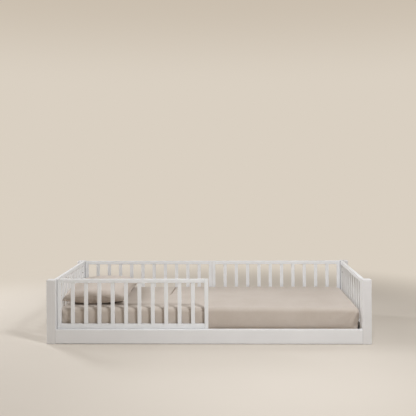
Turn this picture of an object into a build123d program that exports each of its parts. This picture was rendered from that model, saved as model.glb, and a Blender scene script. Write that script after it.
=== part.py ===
"""Low slatted toddler floor bed: posts, aprons, guards, slatted base, mattress and pillow.

Millimetres, +X along the length, +Y to the back, +Z up, origin on the floor in the middle.
"""
import os
from math import copysign, cos, radians, sin

from build123d import *

# Posts
POST = 60.0
HEIGHT = 420.0
POST_EASE = 3.0
GLIDE_THICKNESS = 1.5
GLIDE_DIAMETER = 44.0

# Aprons
APRON_THICKNESS = 38.0
APRON_HEIGHT = 92.0
APRON_LIFT = 2.0
APRON_EASE = 3.0

# Guards
GUARD_THICKNESS = POST - APRON_THICKNESS
GUARD_OVERLAP = 34.0
GUARD_SHOW = 29.0
GUARD_POST_GAP = 1.5
GUARD_MIDDLE_GAP = 2.0
GUARD_EASE = 2.5
TOP_RAIL_HEIGHT = 25.0
STILE_WIDTH = 25.0
SLAT_WIDTH = 25.0
SLAT_THICKNESS = 15.0
SLAT_EASE = 2.0
MORTISE_DEPTH = 10.0
SIDE_SLAT_COUNT = 10
END_SLAT_COUNT = 8

# Slatted base
LEDGER_WIDTH = 45.0
LEDGER_HEIGHT = 40.0
LEDGER_TOP = 57.0
LEDGER_END_GAP = 1.0
LEDGER_EASE = 2.0
BED_SLAT_COUNT = 13
BED_SLAT_WIDTH = 70.0
BED_SLAT_THICKNESS = 18.0
BED_SLAT_END_GAP = 2.0
BED_SLAT_EASE = 3.0

# Mattress in its fitted sheet, which sets the length and the width of the bed
MATTRESS_LENGTH = 2000.0
MATTRESS_WIDTH = 800.0
MATTRESS_HEIGHT = 150.0
MATTRESS_CLEARANCE = 5.0
MATTRESS_CORNER = 45.0
MATTRESS_TOP_ROUND = 34.0
MATTRESS_BOTTOM_ROUND = 20.0
SHEET_THICKNESS = 2.0
SHEET_TUCK = 110.0
SOFT_GAP = 0.3

# Pillow
PILLOW_WIDTH = 424.0
PILLOW_LENGTH = 664.0
PILLOW_HEIGHT = 100.0
PILLOW_SEAM_HEIGHT = 54.0
PILLOW_SEAM_BAND = 8.0
PILLOW_END_GAP = 2.0
PILLOW_BACKWARD = 14.0
PILLOW_HALF_STATIONS = (1.0, 0.985, 0.95, 0.89, 0.79, 0.65, 0.47, 0.25)
PILLOW_FULLNESS = 3.4
PILLOW_END_SWELL = 0.05
PILLOW_BELLY_POWER = 0.8
PILLOW_BELLY_FLAT = 0.6
PILLOW_DRAW_IN = 11.0
PILLOW_SHOULDER_ANGLE = 48.0

# Fasteners
HOLE_CLEARANCE = 0.2
BOLT_DIAMETER = 8.0
BOLT_HEAD_DIAMETER = 16.0
BOLT_HEAD_HEIGHT = 4.0
BOLT_HEAD_SINK = 1.0
BOLT_REACH = 48.0
BOLT_SOCKET = 5.0
BOLT_SOCKET_DEPTH = 2.5
NUT_DIAMETER = 12.0
NUT_LENGTH = 22.0
NUT_SETBACK = 36.0
DOWEL_DIAMETER = 10.0
DOWEL_LENGTH = 50.0
DOWEL_RISE = 26.0
SMALL_DOWEL_DIAMETER = 8.0
SMALL_DOWEL_LENGTH = 38.0
SMALL_DOWEL_REACH = 18.0
SMALL_DOWEL_RISE = 20.0
DOWEL_END_ROOM = 0.5
SCREW_DIAMETER = 5.0
SCREW_HEAD_DIAMETER = 9.0
SCREW_SOCKET = 2.6
SCREW_SOCKET_DEPTH = 1.6
SCREW_TIP = 5.0
GUARD_SCREW_LENGTH = 48.0
GUARD_SCREW_LOW = 75.0
GUARD_SCREW_HIGH = 250.0
GUARD_SCREW_STAGGER = 25.0
GUARD_APRON_SCREW_COUNT = 4
GUARD_APRON_SCREW_INSET = 70.0
LEDGER_SCREW_LENGTH = 72.0
LEDGER_SCREW_COUNT = 7
LEDGER_SCREW_INSET = 100.0
LEDGER_SCREW_DROP = 8.0
BED_SCREW_LENGTH = 40.0
BED_SCREW_INSET = 11.0

# Derived positions
INNER_LENGTH = MATTRESS_LENGTH + 2 * MATTRESS_CLEARANCE
INNER_WIDTH = MATTRESS_WIDTH + 2 * MATTRESS_CLEARANCE
LENGTH = INNER_LENGTH + 2 * POST
WIDTH = INNER_WIDTH + 2 * POST
POST_X = (LENGTH - POST) / 2
POST_Y = (WIDTH - POST) / 2
APRON_X = (LENGTH - APRON_THICKNESS) / 2
APRON_Y = (WIDTH - APRON_THICKNESS) / 2
APRON_Z = APRON_LIFT + APRON_HEIGHT / 2
APRON_TOP = APRON_LIFT + APRON_HEIGHT
GUARD_BOTTOM = APRON_TOP - GUARD_OVERLAP
GUARD_HEIGHT = HEIGHT - GUARD_BOTTOM
GUARD_BACK_X = LENGTH / 2 - APRON_THICKNESS
GUARD_BACK_Y = WIDTH / 2 - APRON_THICKNESS
BOTTOM_RAIL_HEIGHT = GUARD_OVERLAP + GUARD_SHOW
SIDE_GUARD_LENGTH = (INNER_LENGTH - GUARD_MIDDLE_GAP) / 2 - GUARD_POST_GAP
END_GUARD_LENGTH = INNER_WIDTH - 2 * GUARD_POST_GAP
BED_TOP = LEDGER_TOP + BED_SLAT_THICKNESS
BED_SLAT_LENGTH = INNER_WIDTH - 2 * BED_SLAT_END_GAP
BED_SLAT_PITCH = INNER_LENGTH / BED_SLAT_COUNT
MATTRESS_BOTTOM = BED_TOP + SOFT_GAP
MATTRESS_TOP = MATTRESS_BOTTOM + MATTRESS_HEIGHT
CORNERS = (
    ("front_left", -1, -1),
    ("front_right", 1, -1),
    ("rear_left", -1, 1),
    ("rear_right", 1, 1),
)

pieces = {}


def eased_bar(size_x, size_y, size_z, axis, ease):
    """Return a box centred on the origin with the edges along one axis rounded."""
    body = Box(size_x, size_y, size_z)
    return fillet(body.edges().filter_by(axis), ease)


def turned(points):
    """Return the solid of revolution about Z of an outline given as radius and height."""
    outline = make_face(Polyline(*[(radius, 0, height) for radius, height in points], close=True))
    return revolve(outline, Axis.Z)


def pin(diameter, length):
    """Return a cylinder centred on the origin along Z."""
    return Cylinder(diameter / 2, length)


def screw(length):
    """Return a countersunk screw with its head face at the origin, pointing down."""
    shank = SCREW_DIAMETER / 2
    head = SCREW_HEAD_DIAMETER / 2
    body = turned([(0, 0), (head, 0), (shank, shank - head), (shank, SCREW_TIP - length), (0, -length)])
    socket = extrude(RegularPolygon(SCREW_SOCKET / 2, 6), -SCREW_SOCKET_DEPTH)
    return body - socket


def screw_hole(length):
    """Return the space a screw needs, with its clearance."""
    shank = SCREW_DIAMETER / 2 + HOLE_CLEARANCE
    head = SCREW_HEAD_DIAMETER / 2 + HOLE_CLEARANCE
    return turned([(0, 0), (head, 0), (shank, shank - head), (shank, -length), (0, -length)])


def bolt():
    """Return a connector bolt with its seat at the origin, pointing down."""
    reach = POST - BOLT_HEAD_HEIGHT - BOLT_HEAD_SINK + BOLT_REACH
    shank = Pos(0, 0, -reach / 2) * pin(BOLT_DIAMETER, reach)
    head = Pos(0, 0, BOLT_HEAD_HEIGHT / 2) * pin(BOLT_HEAD_DIAMETER, BOLT_HEAD_HEIGHT)
    socket = extrude(RegularPolygon(BOLT_SOCKET / 2, 6), -BOLT_SOCKET_DEPTH)
    return shank + head - Pos(0, 0, BOLT_HEAD_HEIGHT) * socket


def bolt_hole():
    """Return the bored and counterbored space of a connector bolt."""
    reach = POST - BOLT_HEAD_HEIGHT - BOLT_HEAD_SINK + BOLT_REACH + DOWEL_END_ROOM
    bore = Pos(0, 0, -reach / 2) * pin(BOLT_DIAMETER + 2 * HOLE_CLEARANCE, reach)
    depth = BOLT_HEAD_HEIGHT + BOLT_HEAD_SINK
    seat = Pos(0, 0, depth / 2) * pin(BOLT_HEAD_DIAMETER + 2 * HOLE_CLEARANCE, depth)
    return bore + seat


def cut(names, holes):
    """Take the holes out of each named piece."""
    for name in names:
        pieces[name] = pieces[name] - holes


def group(solids):
    """Return one node made of separate solids."""
    return Compound(children=[solid for shape in solids for solid in shape.solids()])


def guard(name, length, slat_count, place):
    """Add the rails, stiles and slats of one guard, and return its corner dowels.

    The guard is drawn along +X from its own end, its outer face on Y = 0, and put in place.
    """
    middle_y = GUARD_THICKNESS / 2
    rail_length = length - 2 * STILE_WIDTH
    stile = eased_bar(STILE_WIDTH, GUARD_THICKNESS, GUARD_HEIGHT, Axis.Z, GUARD_EASE)
    stile_z = GUARD_BOTTOM + GUARD_HEIGHT / 2
    stiles = [Pos(x, middle_y, stile_z) * stile for x in (STILE_WIDTH / 2, length - STILE_WIDTH / 2)]
    top_z = HEIGHT - TOP_RAIL_HEIGHT / 2
    top_rail = eased_bar(rail_length, GUARD_THICKNESS, TOP_RAIL_HEIGHT, Axis.X, GUARD_EASE)
    top_rail = Pos(length / 2, middle_y, top_z) * top_rail
    bottom_z = GUARD_BOTTOM + BOTTOM_RAIL_HEIGHT / 2
    bottom_rail = eased_bar(rail_length, GUARD_THICKNESS, BOTTOM_RAIL_HEIGHT, Axis.X, GUARD_EASE)
    bottom_rail = Pos(length / 2, middle_y, bottom_z) * bottom_rail

    slat_low = GUARD_BOTTOM + BOTTOM_RAIL_HEIGHT - MORTISE_DEPTH
    slat_high = HEIGHT - TOP_RAIL_HEIGHT + MORTISE_DEPTH
    slat_length = slat_high - slat_low
    slat = eased_bar(SLAT_WIDTH, SLAT_THICKNESS, slat_length, Axis.Z, SLAT_EASE)
    mortise = Box(SLAT_WIDTH, SLAT_THICKNESS, slat_length)
    pitch = (length - STILE_WIDTH) / (slat_count + 1)
    spots = [
        Pos(STILE_WIDTH / 2 + pitch * (index + 1), middle_y, (slat_low + slat_high) / 2)
        for index in range(slat_count)
    ]
    mortises = [spot * mortise for spot in spots]

    dowels = []
    dowel_holes = []
    dowel = pin(SMALL_DOWEL_DIAMETER, SMALL_DOWEL_LENGTH)
    dowel_hole = pin(
        SMALL_DOWEL_DIAMETER + 2 * HOLE_CLEARANCE, SMALL_DOWEL_LENGTH + 2 * DOWEL_END_ROOM
    )
    shift = SMALL_DOWEL_LENGTH / 2 - SMALL_DOWEL_REACH
    for x in (STILE_WIDTH + shift, length - STILE_WIDTH - shift):
        for z in (top_z, bottom_z - SMALL_DOWEL_RISE, bottom_z + SMALL_DOWEL_RISE):
            spot = Pos(x, middle_y, z) * Rot(0, 90, 0)
            dowels.append(place * spot * dowel)
            dowel_holes.append(spot * dowel_hole)

    pieces[f"{name}_top_rail"] = place * (top_rail - mortises - dowel_holes)
    pieces[f"{name}_bottom_rail"] = place * (bottom_rail - mortises - dowel_holes)
    pieces[f"{name}_stile_a"] = place * (stiles[0] - dowel_holes)
    pieces[f"{name}_stile_b"] = place * (stiles[1] - dowel_holes)
    pieces[f"{name}_slats"] = group([place * spot * slat for spot in spots])
    return dowels


def guard_screw_spots(length, place, to_first, to_last, low, high):
    """Return where screws go: through the stiles of one guard, and through its bottom rail."""
    middle_y = GUARD_THICKNESS / 2
    through_stiles = []
    for z in (low, high):
        if to_first:
            through_stiles.append(place * Pos(STILE_WIDTH, middle_y, GUARD_BOTTOM + z) * Rot(0, 90, 0))
        if to_last:
            through_stiles.append(
                place * Pos(length - STILE_WIDTH, middle_y, GUARD_BOTTOM + z) * Rot(0, -90, 0)
            )
    span = length - 2 * GUARD_APRON_SCREW_INSET
    step = span / (GUARD_APRON_SCREW_COUNT - 1)
    through_rail = [
        place
        * Pos(
            GUARD_APRON_SCREW_INSET + step * index,
            GUARD_THICKNESS,
            GUARD_BOTTOM + GUARD_OVERLAP / 2,
        )
        * Rot(-90, 0, 0)
        for index in range(GUARD_APRON_SCREW_COUNT)
    ]
    return through_stiles, through_rail


def soft_block(inset):
    """Return the mattress outline drawn in by an inset on every side."""
    block = Box(
        MATTRESS_LENGTH - 2 * inset,
        MATTRESS_WIDTH - 2 * inset,
        MATTRESS_HEIGHT - 2 * inset,
    )
    block = fillet(block.edges().filter_by(Axis.Z), MATTRESS_CORNER - inset)
    block = fillet(block.faces().sort_by(Axis.Z)[-1].edges(), MATTRESS_TOP_ROUND - inset)
    block = fillet(block.faces().sort_by(Axis.Z)[0].edges(), MATTRESS_BOTTOM_ROUND - inset)
    return Pos(0, 0, MATTRESS_BOTTOM + MATTRESS_HEIGHT / 2) * block


def pillow_section(station):
    """Return one crosswise section of the pillow: a full crown over a belly that lies flat."""
    swell = (1 - abs(station) ** PILLOW_FULLNESS) ** (1 / PILLOW_FULLNESS)
    swell = max(swell, PILLOW_END_SWELL)
    side = PILLOW_WIDTH / 2 - PILLOW_DRAW_IN * (1 - station**2)
    flat = side * PILLOW_BELLY_FLAT
    band = PILLOW_SEAM_BAND / 2
    crown = (PILLOW_HEIGHT - PILLOW_SEAM_HEIGHT - band) * swell
    belly = band + (PILLOW_SEAM_HEIGHT - band) * swell**PILLOW_BELLY_POWER

    def on_crown(angle):
        across = abs(cos(radians(angle))) ** (2 / PILLOW_FULLNESS)
        rise = abs(sin(radians(angle))) ** (2 / PILLOW_FULLNESS)
        return (copysign(side * across, cos(radians(angle))), band + crown * rise)

    shoulder = PILLOW_SHOULDER_ANGLE
    outline = [
        Line((-side, -band), (-side, band)),
        ThreePointArc(on_crown(180), on_crown(180 - shoulder / 2), on_crown(180 - shoulder)),
        ThreePointArc(on_crown(180 - shoulder), on_crown(90), on_crown(shoulder)),
        ThreePointArc(on_crown(shoulder), on_crown(shoulder / 2), on_crown(0)),
        Line((side, band), (side, -band)),
        TangentArc((flat, -belly), (side, -band), tangent=(1, 0)),
        Line((flat, -belly), (-flat, -belly)),
        TangentArc((-flat, -belly), (-side, -band), tangent=(-1, 0)),
    ]
    middle_x = PILLOW_END_GAP + (PILLOW_WIDTH - MATTRESS_LENGTH) / 2
    middle_y = PILLOW_BACKWARD + station * PILLOW_LENGTH / 2
    middle_z = MATTRESS_TOP + SOFT_GAP + PILLOW_SEAM_HEIGHT
    plane = Plane(origin=(middle_x, middle_y, middle_z), x_dir=(1, 0, 0), z_dir=(0, -1, 0))
    return plane * make_face(outline)


# Posts, glides and aprons
post_height = HEIGHT - GLIDE_THICKNESS
post_blank = eased_bar(POST, POST, post_height, Axis.Z, POST_EASE)
post_blank = fillet(post_blank.faces().sort_by(Axis.Z)[-1].edges(), POST_EASE)
glide = pin(GLIDE_DIAMETER, GLIDE_THICKNESS)
glides = []
for corner, side_x, side_y in CORNERS:
    pieces[f"post_{corner}"] = (
        Pos(side_x * POST_X, side_y * POST_Y, GLIDE_THICKNESS + post_height / 2) * post_blank
    )
    glides.append(Pos(side_x * POST_X, side_y * POST_Y, GLIDE_THICKNESS / 2) * glide)

long_apron = eased_bar(INNER_LENGTH, APRON_THICKNESS, APRON_HEIGHT, Axis.X, APRON_EASE)
end_apron = eased_bar(APRON_THICKNESS, INNER_WIDTH, APRON_HEIGHT, Axis.Y, APRON_EASE)
pieces["apron_front"] = Pos(0, -APRON_Y, APRON_Z) * long_apron
pieces["apron_rear"] = Pos(0, APRON_Y, APRON_Z) * long_apron
pieces["apron_left"] = Pos(-APRON_X, 0, APRON_Z) * end_apron
pieces["apron_right"] = Pos(APRON_X, 0, APRON_Z) * end_apron

# Bolts, barrel nuts and dowels of the aprons
bolts = []
nuts = []
dowels = []
dowel_blank = pin(DOWEL_DIAMETER, DOWEL_LENGTH)
dowel_bore = pin(DOWEL_DIAMETER + 2 * HOLE_CLEARANCE, DOWEL_LENGTH + 2 * DOWEL_END_ROOM)
nut_bore_height = APRON_HEIGHT / 2 + NUT_LENGTH / 2 + DOWEL_END_ROOM
nut_bore = pin(NUT_DIAMETER + 2 * HOLE_CLEARANCE, nut_bore_height)
nut_cross_bore = Rot(0, 90, 0) * pin(BOLT_DIAMETER + 2 * HOLE_CLEARANCE, NUT_DIAMETER)
nut_blank = pin(NUT_DIAMETER, NUT_LENGTH) - nut_cross_bore
for corner, side_x, side_y in CORNERS:
    post = f"post_{corner}"
    long_name = "apron_front" if side_y < 0 else "apron_rear"
    end_name = "apron_left" if side_x < 0 else "apron_right"
    seat_x = side_x * (LENGTH / 2 - BOLT_HEAD_HEIGHT - BOLT_HEAD_SINK)
    bolt_spot = Pos(seat_x, side_y * APRON_Y, APRON_Z) * Rot(0, side_x * 90, 0)
    bolts.append(bolt_spot * bolt())
    nut_x = side_x * (INNER_LENGTH / 2 - NUT_SETBACK)
    nuts.append(Pos(nut_x, side_y * APRON_Y, APRON_Z) * nut_blank)
    nut_hole = Pos(nut_x, side_y * APRON_Y, APRON_LIFT + nut_bore_height / 2) * nut_bore
    long_holes = [bolt_spot * bolt_hole()]
    end_holes = []
    for rise in (-DOWEL_RISE, DOWEL_RISE):
        long_spot = Pos(side_x * INNER_LENGTH / 2, side_y * APRON_Y, APRON_Z + rise) * Rot(0, 90, 0)
        end_spot = Pos(side_x * APRON_X, side_y * INNER_WIDTH / 2, APRON_Z + rise) * Rot(90, 0, 0)
        dowels.extend([long_spot * dowel_blank, end_spot * dowel_blank])
        long_holes.append(long_spot * dowel_bore)
        end_holes.append(end_spot * dowel_bore)
    cut([post], long_holes + end_holes)
    cut([long_name], long_holes + [nut_hole])
    cut([end_name], end_holes)

# Guards
side_reach = INNER_LENGTH / 2 - GUARD_POST_GAP
end_reach = INNER_WIDTH / 2 - GUARD_POST_GAP
GUARDS = (
    ("guard_front", SIDE_GUARD_LENGTH, SIDE_SLAT_COUNT, Pos(-side_reach, -GUARD_BACK_Y, 0)),
    (
        "guard_rear_right",
        SIDE_GUARD_LENGTH,
        SIDE_SLAT_COUNT,
        Pos(side_reach, GUARD_BACK_Y, 0) * Rot(0, 0, 180),
    ),
    (
        "guard_rear_left",
        SIDE_GUARD_LENGTH,
        SIDE_SLAT_COUNT,
        Pos(-GUARD_MIDDLE_GAP / 2, GUARD_BACK_Y, 0) * Rot(0, 0, 180),
    ),
    ("guard_left", END_GUARD_LENGTH, END_SLAT_COUNT, Pos(-GUARD_BACK_X, end_reach, 0) * Rot(0, 0, -90)),
    ("guard_right", END_GUARD_LENGTH, END_SLAT_COUNT, Pos(GUARD_BACK_X, -end_reach, 0) * Rot(0, 0, 90)),
)
GUARD_FIXINGS = {
    "guard_front": ("post_front_left", None, "apron_front"),
    "guard_rear_right": ("post_rear_right", "guard_rear_left_stile_a", "apron_rear"),
    "guard_rear_left": (None, "post_rear_left", "apron_rear"),
    "guard_left": ("post_rear_left", "post_front_left", "apron_left"),
    "guard_right": ("post_front_right", "post_rear_right", "apron_right"),
}
guard_dowels = []
for name, length, slat_count, place in GUARDS:
    guard_dowels.extend(guard(name, length, slat_count, place))

guard_screws = []
guard_screw = screw(GUARD_SCREW_LENGTH)
guard_screw_hole = screw_hole(GUARD_SCREW_LENGTH)
for name, length, slat_count, place in GUARDS:
    first, last, apron = GUARD_FIXINGS[name]
    stagger = GUARD_SCREW_STAGGER if slat_count == END_SLAT_COUNT else 0
    low = GUARD_SCREW_LOW + stagger
    high = GUARD_SCREW_HIGH + stagger
    stile_spots, rail_spots = guard_screw_spots(length, place, first, last, low, high)
    stile_holes = [spot * guard_screw_hole for spot in stile_spots]
    rail_holes = [spot * guard_screw_hole for spot in rail_spots]
    cut([held for held in (first, last) if held], stile_holes)
    cut([f"{name}_stile_a", f"{name}_stile_b"], stile_holes)
    cut([f"{name}_bottom_rail", apron], rail_holes)
    guard_screws.extend(spot * guard_screw for spot in stile_spots + rail_spots)

# Ledgers and bed slats
ledger_y = WIDTH / 2 - APRON_THICKNESS - LEDGER_WIDTH / 2
ledger_inner_y = ledger_y - LEDGER_WIDTH / 2
ledger_z = LEDGER_TOP - LEDGER_HEIGHT / 2
ledger_length = INNER_LENGTH - 2 * LEDGER_END_GAP
ledger = eased_bar(ledger_length, LEDGER_WIDTH, LEDGER_HEIGHT, Axis.X, LEDGER_EASE)
ledger_screws = []
ledger_screw_span = ledger_length - 2 * LEDGER_SCREW_INSET
ledger_screw = screw(LEDGER_SCREW_LENGTH)
ledger_screw_hole = screw_hole(LEDGER_SCREW_LENGTH)
for name, side_y in (("front", -1), ("rear", 1)):
    pieces[f"ledger_{name}"] = Pos(0, side_y * ledger_y, ledger_z) * ledger
    spots = [
        Pos(
            (index / (LEDGER_SCREW_COUNT - 1) - 0.5) * ledger_screw_span,
            side_y * ledger_inner_y,
            ledger_z - LEDGER_SCREW_DROP,
        )
        * Rot(side_y * 90, 0, 0)
        for index in range(LEDGER_SCREW_COUNT)
    ]
    ledger_screws.extend(spot * ledger_screw for spot in spots)
    cut([f"ledger_{name}", f"apron_{name}"], [spot * ledger_screw_hole for spot in spots])

bed_slat = eased_bar(BED_SLAT_WIDTH, BED_SLAT_LENGTH, BED_SLAT_THICKNESS, Axis.Y, BED_SLAT_EASE)
bed_screws = []
bed_screw = screw(BED_SCREW_LENGTH)
bed_screw_hole = screw_hole(BED_SCREW_LENGTH)
bed_screw_y = BED_SLAT_LENGTH / 2 - BED_SCREW_INSET
ledger_holes = {-1: [], 1: []}
for index in range(BED_SLAT_COUNT):
    slat_x = (index - (BED_SLAT_COUNT - 1) / 2) * BED_SLAT_PITCH
    name = f"bed_slat_{index + 1:02d}"
    pieces[name] = Pos(slat_x, 0, LEDGER_TOP + BED_SLAT_THICKNESS / 2) * bed_slat
    for side_y in (-1, 1):
        spot = Pos(slat_x, side_y * bed_screw_y, BED_TOP)
        bed_screws.append(spot * bed_screw)
        ledger_holes[side_y].append(spot * bed_screw_hole)
        cut([name], [spot * bed_screw_hole])
cut(["ledger_front"], ledger_holes[-1])
cut(["ledger_rear"], ledger_holes[1])

# Mattress, fitted sheet and pillow
opening = Pos(0, 0, MATTRESS_BOTTOM) * Box(
    MATTRESS_LENGTH - 2 * SHEET_TUCK,
    MATTRESS_WIDTH - 2 * SHEET_TUCK,
    4 * SHEET_THICKNESS,
)
pieces["fitted_sheet"] = soft_block(0) - soft_block(SHEET_THICKNESS) - opening
pieces["mattress"] = soft_block(SHEET_THICKNESS + SOFT_GAP)
pillow_stations = [-station for station in PILLOW_HALF_STATIONS] + [0.0]
pillow_stations = pillow_stations + list(reversed(PILLOW_HALF_STATIONS))
pieces["pillow"] = loft([pillow_section(station) for station in pillow_stations], ruled=True)

pieces["glides"] = group(glides)
pieces["apron_bolts"] = group(bolts)
pieces["barrel_nuts"] = group(nuts)
pieces["apron_dowels"] = group(dowels)
pieces["guard_dowels"] = group(guard_dowels)
pieces["guard_screws"] = group(guard_screws)
pieces["ledger_screws"] = group(ledger_screws)
pieces["bed_slat_screws"] = group(bed_screws)

os.makedirs("parts", exist_ok=True)
for name, shape in pieces.items():
    shape.label = name
    export_step(shape, f"parts/{name}.step")
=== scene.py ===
"""Looks of a low white slatted bed with its mattress, fitted sheet and pillow.

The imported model's timber and fastenings are dressed as they are. Soft forms take the place of the
mattress, the sheet and the pillow. All lengths are in metres.
"""

from __future__ import annotations

import logging
import math
from dataclasses import dataclass
from enum import Enum

import bpy
import numpy as np
from mathutils import Matrix, Vector, noise


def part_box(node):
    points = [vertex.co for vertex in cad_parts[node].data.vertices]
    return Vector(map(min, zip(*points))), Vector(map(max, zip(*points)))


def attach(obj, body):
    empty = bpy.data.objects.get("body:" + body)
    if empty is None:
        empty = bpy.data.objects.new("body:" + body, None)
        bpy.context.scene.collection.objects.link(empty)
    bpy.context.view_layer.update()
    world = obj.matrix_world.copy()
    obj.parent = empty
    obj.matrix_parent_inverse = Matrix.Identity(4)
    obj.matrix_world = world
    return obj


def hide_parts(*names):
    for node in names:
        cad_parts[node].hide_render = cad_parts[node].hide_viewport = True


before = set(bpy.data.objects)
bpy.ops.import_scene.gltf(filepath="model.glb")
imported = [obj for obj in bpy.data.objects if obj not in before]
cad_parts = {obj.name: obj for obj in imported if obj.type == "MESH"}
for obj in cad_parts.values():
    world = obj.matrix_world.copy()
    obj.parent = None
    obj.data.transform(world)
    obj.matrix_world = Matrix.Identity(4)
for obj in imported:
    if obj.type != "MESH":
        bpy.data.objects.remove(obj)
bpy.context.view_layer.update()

log = logging.getLogger("bed")

Socket = bpy.types.NodeSocket
Sockets = dict[str, bpy.types.NodeSocket]
Feed = bpy.types.NodeSocket | float | tuple[float, ...]
Triple = tuple[float, float, float]
Pair = tuple[float, float]
Colour = tuple[float, float, float]
Faces = list[tuple[int, ...]]


def linear(red: int, green: int, blue: int) -> Colour:
    """Return a display colour, given as 0 to 255, in linear light."""
    shares = [value / 255 for value in (red, green, blue)]
    return tuple(s / 12.92 if s <= 0.04045 else ((s + 0.055) / 1.055) ** 2.4 for s in shares)


def opaque(colour: Colour, tone: float = 1.0) -> tuple[float, float, float, float]:
    """Return a colour with full cover, made darker or lighter by a tone."""
    return (*(min(1.0, channel * tone) for channel in colour), 1.0)


class Lie(Enum):
    """The way a length of timber lies, with the turn that lays its grain along Z."""

    LENGTHWISE = (0.0, math.pi / 2, 0.0)
    CROSSWISE = (math.pi / 2, 0.0, 0.0)
    UPRIGHT = (0.0, 0.0, 0.0)


class NodeGraph:
    """A shader node tree with short calls that place and join its nodes."""

    def __init__(self, tree: bpy.types.NodeTree) -> None:
        """Keep the tree that the nodes go into."""
        self.tree = tree

    def place(self, kind: str, **settings: object) -> bpy.types.Node:
        """Add a node.

        Args:
            kind: The type of node.
            settings: The node's own properties.

        Returns:
            The new node.
        """
        node = self.tree.nodes.new(kind)
        for name, value in settings.items():
            setattr(node, name, value)
        return node

    def feed(self, socket: Socket, value: Feed) -> None:
        """Join a socket to another one, or set its own value.

        Args:
            socket: The input to be fed.
            value: The output that feeds it, or the value that it takes.
        """
        if isinstance(value, bpy.types.NodeSocket):
            self.tree.links.new(value, socket)
        else:
            socket.default_value = value

    def join(self, kind: str, operation: str, *values: Feed) -> bpy.types.Node:
        """Add a node that works on values.

        Args:
            kind: The type of node.
            operation: What it does, such as ADD.
            values: The values it works on, in the order of its inputs.

        Returns:
            The new node.
        """
        node = self.place(kind, operation=operation)
        for socket, value in zip(node.inputs, values):
            self.feed(socket, value)
        return node

    def math(self, operation: str, *values: Feed) -> Socket:
        """Return the result of a sum on numbers."""
        return self.join("ShaderNodeMath", operation, *values).outputs[0]

    def vector(self, operation: str, *values: Feed) -> Socket:
        """Return the vector that a sum on vectors gives."""
        return self.join("ShaderNodeVectorMath", operation, *values).outputs["Vector"]

    def measure(self, operation: str, *values: Feed) -> Socket:
        """Return the number that a sum on vectors gives."""
        return self.join("ShaderNodeVectorMath", operation, *values).outputs["Value"]

    def weigh(self, *terms: tuple[Feed, float]) -> Socket:
        """Add up numbers, each times its weight.

        Args:
            terms: Each number with its weight.

        Returns:
            The sum.
        """
        first, *others = [self.math("MULTIPLY", value, weight) for value, weight in terms]
        for other in others:
            first = self.math("ADD", first, other)
        return first

    def noise(self, vector: Feed, scale: Feed, detail: float = 2.0, rough: float = 0.5) -> Socket:
        """Add a cloudy pattern.

        Args:
            vector: Where on the surface it is asked for.
            scale: How many clouds lie along a metre.
            detail: How many finer layers it has.
            rough: How strong the finer layers are.

        Returns:
            The pattern, from 0 to 1.
        """
        node = self.place("ShaderNodeTexNoise")
        self.feed(node.inputs["Vector"], vector)
        self.feed(node.inputs["Scale"], scale)
        node.inputs["Detail"].default_value = detail
        node.inputs["Roughness"].default_value = rough
        return node.outputs[0]

    def span(self, value: Feed, start: Feed, end: Feed, out: Pair = (0.0, 1.0)) -> Socket:
        """Carry a number smoothly from one range to another.

        Args:
            value: The number.
            start: Where its range starts.
            end: Where its range ends.
            out: The two ends of the new range.

        Returns:
            The number in the new range.
        """
        node = self.place("ShaderNodeMapRange", interpolation_type="SMOOTHSTEP")
        for socket, part in zip(node.inputs, (value, start, end, *out)):
            self.feed(socket, part)
        return node.outputs[0]

    def blend(self, share: Feed, first: Feed, second: Feed) -> Socket:
        """Mix two colours.

        Args:
            share: How much of the second there is, from 0 to 1.
            first: The first colour.
            second: The second colour.

        Returns:
            The mixed colour.
        """
        node = self.place("ShaderNodeMix", data_type="RGBA")
        for number, value in ((0, share), (6, first), (7, second)):
            self.feed(node.inputs[number], value)
        return node.outputs[2]

    def bump(self, height: Feed, relief: Pair) -> Socket:
        """Turn heights into a normal.

        Args:
            height: The height of the surface.
            relief: The length that a height of 1 stands for, and the strength of the effect.

        Returns:
            The normal.
        """
        node = self.place("ShaderNodeBump")
        node.inputs["Distance"].default_value, node.inputs["Strength"].default_value = relief
        self.feed(node.inputs["Height"], height)
        return node.outputs[0]

    def mix_shaders(self, share: Feed, first: Socket, second: Socket) -> Socket:
        """Mix two shaders.

        Args:
            share: How much of the second there is, from 0 to 1.
            first: The first shader.
            second: The second shader.

        Returns:
            The mixed shader.
        """
        node = self.place("ShaderNodeMixShader")
        for socket, value in zip(node.inputs, (share, first, second)):
            self.feed(socket, value)
        return node.outputs[0]


class Effect:
    """A shader node group that several finishes share."""

    name = ""
    takes: dict[str, str] = {}
    gives: tuple[str, ...] = ()

    def tree(self) -> bpy.types.NodeTree:
        """Build the group the first time that it is asked for.

        Returns:
            The group.
        """
        known = bpy.data.node_groups.get(self.name)
        if known:
            return known
        group = bpy.data.node_groups.new(self.name, "ShaderNodeTree")
        for socket, kind in self.takes.items():
            group.interface.new_socket(socket, in_out="INPUT", socket_type=kind)
        for socket in self.gives:
            group.interface.new_socket(socket, in_out="OUTPUT", socket_type="NodeSocketFloat")
        graph = NodeGraph(group)
        inside = graph.place("NodeGroupInput").outputs
        results = self.draw(graph, {socket.name: socket for socket in inside if socket.name})
        outlet = graph.place("NodeGroupOutput")
        for socket, result in results.items():
            graph.feed(outlet.inputs[socket], result)
        return group

    def draw(self, graph: NodeGraph, given: Sockets) -> Sockets:
        """Lay out the inside of the group; each kind of effect has its own layout."""
        raise NotImplementedError

    def use(self, graph: NodeGraph, **values: Feed) -> Sockets:
        """Place the group in a material.

        Args:
            graph: The material's node tree.
            values: The value or socket for each of the group's inputs.

        Returns:
            The group's outputs by name.
        """
        node = graph.place("ShaderNodeGroup", node_tree=self.tree())
        for name, value in values.items():
            graph.feed(node.inputs[name], value)
        return {name: node.outputs[name] for name in self.gives}


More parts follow.
